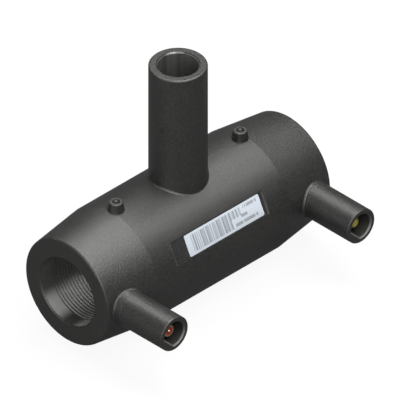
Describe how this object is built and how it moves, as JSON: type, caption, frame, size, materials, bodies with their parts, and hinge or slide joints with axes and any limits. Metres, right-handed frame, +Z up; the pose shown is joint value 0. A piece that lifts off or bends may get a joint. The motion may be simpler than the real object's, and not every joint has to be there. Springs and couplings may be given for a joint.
{
  "type": "electrofusion reducing tee",
  "caption": "Moulded pipe tee with electrofusion sockets on its run, a smaller plain spigot as its branch, shrouded power terminals and melt indicators.",
  "frame": {"origin": "where the run's axis and the branch's axis cross", "axes": "+X along the run towards the plain terminal's end, +Z up the branch, -Y the way the two terminals point"},
  "size_m": [0.105, 0.0649, 0.0896],
  "materials": {
    "body_plastic": "moulded, fine satin grain",
    "heating_wire": "bare drawn copper alloy",
    "tinned_pin": "tin plated",
    "brass_pin": "turned, dull",
    "red_plastic": "moulded",
    "resistor": "coated ceramic",
    "indicator_plastic": "moulded",
    "label_film": "printed film"
  },
  "bodies": {
    "fitting": {"body": "body_plastic", "heating_wire": "heating_wire", "terminal_pin_left": "tinned_pin", "terminal_pin_right": "brass_pin", "contact_insulator": "red_plastic", "centre_contact": "tinned_pin", "code_resistor": "resistor", "label": "label_film"},
    "left_indicator": {"melt_indicator_left": "indicator_plastic"},
    "right_indicator": {"melt_indicator_right": "indicator_plastic"}
  },
  "joints": [
    {"name": "left_indicator_rise", "type": "slide", "parent": "fitting", "child": "left_indicator", "axis": [0, 0, 1], "range_m": [0, 0.003]},
    {"name": "right_indicator_rise", "type": "slide", "parent": "fitting", "child": "right_indicator", "axis": [0, 0, 1], "range_m": [0, 0.003]}
  ]
}
